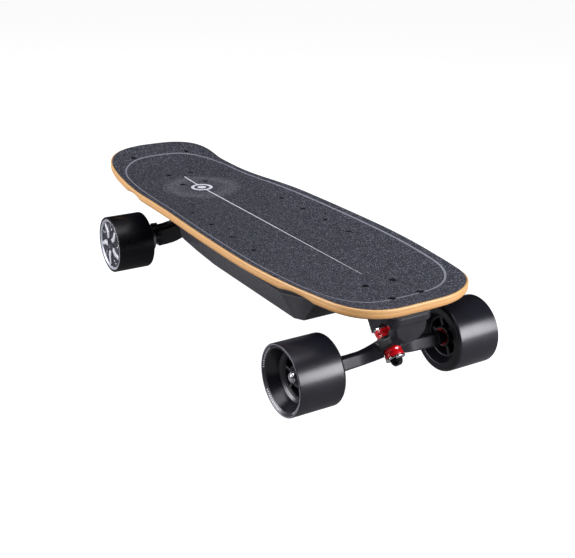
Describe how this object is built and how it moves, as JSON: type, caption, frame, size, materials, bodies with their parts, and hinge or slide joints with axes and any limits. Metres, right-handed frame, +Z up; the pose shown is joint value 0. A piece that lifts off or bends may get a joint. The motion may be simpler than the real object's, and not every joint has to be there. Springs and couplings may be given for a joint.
{
  "type": "electric skateboard",
  "caption": "Kick-tail electric skateboard: ply deck with grip tape, two steering trucks with bushings, spoked front wheels, rear hub motors, battery and controller in a faceted enclosure.",
  "frame": {"origin": "On the ground, under the middle of the board's length and width", "axes": "+X towards the nose, +Y to the rider's left, +Z up"},
  "size_m": [0.7592, 0.298, 0.1639],
  "materials": {
    "ply": "satin varnished maple ply, laminations showing at the edge",
    "grip": "coarse mineral grit on a black sheet, thin pale outline and centre line",
    "black_steel": "black zinc",
    "cast_black": "satin black painted casting",
    "black_rubber": "moulded",
    "red_urethane": "translucent red urethane",
    "bright_steel": "bright zinc",
    "chrome_washer": "polished",
    "shell_plastic": "dark grey satin moulded plastic, faceted",
    "cell_wrap": "blue shrink wrap over a steel can",
    "nickel": "spot-welded strip",
    "holder_plastic": "moulded",
    "circuit_board": "solder resist over glass laminate",
    "red_lead": "silicone lead",
    "socket_plastic": "moulded",
    "button_red": "moulded",
    "bezel_metal": "polished ring",
    "wheel_urethane": "satin black urethane",
    "core_plastic": "glass-filled nylon",
    "red_bearing": "steel race with a red seal",
    "dark_bearing": "steel race with a dark seal",
    "lamination": "stacked electrical steel",
    "copper": "enamelled copper wire",
    "magnet": "nickel plated",
    "motor_can": "blackened steel",
    "cover_metal": "dark grey cast cover, bright machined blades",
    "braid": "braided sleeve",
    "tie_nylon": "moulded"
  },
  "bodies": {
    "board": {"deck": "ply", "grip_tape": "grip", "truck_bolts": "black_steel", "truck_nuts": "black_steel", "deck_screws": "black_steel", "tail_pad": "black_rubber", "riser_pads": "black_rubber", "front_baseplate": "cast_black", "rear_baseplate": "cast_black", "pivot_cups": "black_rubber", "kingpins": "bright_steel", "kingpin_nuts": "black_steel", "bushing_washers": "chrome_washer", "front_boardside_bushing": "red_urethane", "front_roadside_bushing": "red_urethane", "rear_boardside_bushing": "red_urethane", "rear_roadside_bushing": "red_urethane", "enclosure_shell": "shell_plastic", "enclosure_gasket": "black_rubber", "battery_cells": "cell_wrap", "battery_strips": "nickel", "cell_holders": "holder_plastic", "bms_board": "circuit_board", "motor_controller": "circuit_board", "power_harness": "red_lead", "charge_socket": "socket_plastic", "button_bezel": "bezel_metal"},
    "port_cover": {"charge_port_cover": "black_rubber"},
    "button": {"power_button": "button_red"},
    "front_axle_unit": {"front_hanger": "cast_black", "front_axle": "bright_steel", "front_axle_nuts": "bright_steel", "front_speed_rings": "bright_steel", "front_spacers": "bright_steel", "front_inner_races": "bright_steel"},
    "front_left_wheel": {"front_left_tyre": "wheel_urethane", "front_left_core": "core_plastic", "front_left_bearings": "red_bearing"},
    "front_right_wheel": {"front_right_tyre": "wheel_urethane", "front_right_core": "core_plastic", "front_right_bearings": "red_bearing"},
    "rear_axle_unit": {"rear_hanger": "cast_black", "motor_shafts": "bright_steel", "motor_stators": "lamination", "motor_windings": "copper", "motor_inner_races": "bright_steel", "motor_cables": "braid", "cable_ties": "tie_nylon"},
    "rear_left_motor": {"rear_left_can": "motor_can", "rear_left_magnets": "magnet", "rear_left_sleeve": "wheel_urethane", "rear_left_cover": "cover_metal", "rear_left_screws": "bright_steel", "rear_left_bearings": "dark_bearing"},
    "rear_right_motor": {"rear_right_can": "motor_can", "rear_right_magnets": "magnet", "rear_right_sleeve": "wheel_urethane", "rear_right_cover": "cover_metal", "rear_right_screws": "bright_steel", "rear_right_bearings": "dark_bearing"}
  },
  "joints": [
    {"name": "front_steer", "type": "hinge", "parent": "board", "child": "front_axle_unit", "pos_m": [0.31935, 0, 0.062], "axis": [0.7071, 0, 0.7071], "range_deg": [-15, 15], "stiffness_Nm_per_rad": 60, "deforming": ["front_boardside_bushing", "front_roadside_bushing"]},
    {"name": "rear_steer", "type": "hinge", "parent": "board", "child": "rear_axle_unit", "pos_m": [-0.24265, 0, 0.062], "axis": [-0.7071, 0, 0.7071], "range_deg": [-15, 15], "stiffness_Nm_per_rad": 60, "deforming": ["rear_boardside_bushing", "rear_roadside_bushing", "motor_cables"]},
    {"name": "front_left_spin", "type": "hinge", "parent": "front_axle_unit", "child": "front_left_wheel", "pos_m": [0.30875, 0.117, 0.045], "axis": [0, 1, 0], "continuous": true},
    {"name": "front_right_spin", "type": "hinge", "parent": "front_axle_unit", "child": "front_right_wheel", "pos_m": [0.30875, -0.117, 0.045], "axis": [0, 1, 0], "continuous": true},
    {"name": "rear_left_spin", "type": "hinge", "parent": "rear_axle_unit", "child": "rear_left_motor", "pos_m": [-0.23205, 0.115, 0.045], "axis": [0, 1, 0], "continuous": true},
    {"name": "rear_right_spin", "type": "hinge", "parent": "rear_axle_unit", "child": "rear_right_motor", "pos_m": [-0.23205, -0.115, 0.045], "axis": [0, 1, 0], "continuous": true},
    {"name": "port_cover_hinge", "type": "hinge", "parent": "board", "child": "port_cover", "pos_m": [0.15035, 0.0854, 0.1024], "axis": [-1, 0, 0], "range_deg": [0, 120]},
    {"name": "button_press", "type": "slide", "parent": "board", "child": "button", "axis": [0, -1, 0], "range_m": [0, 0.0015], "stiffness_N_per_m": 800}
  ]
}
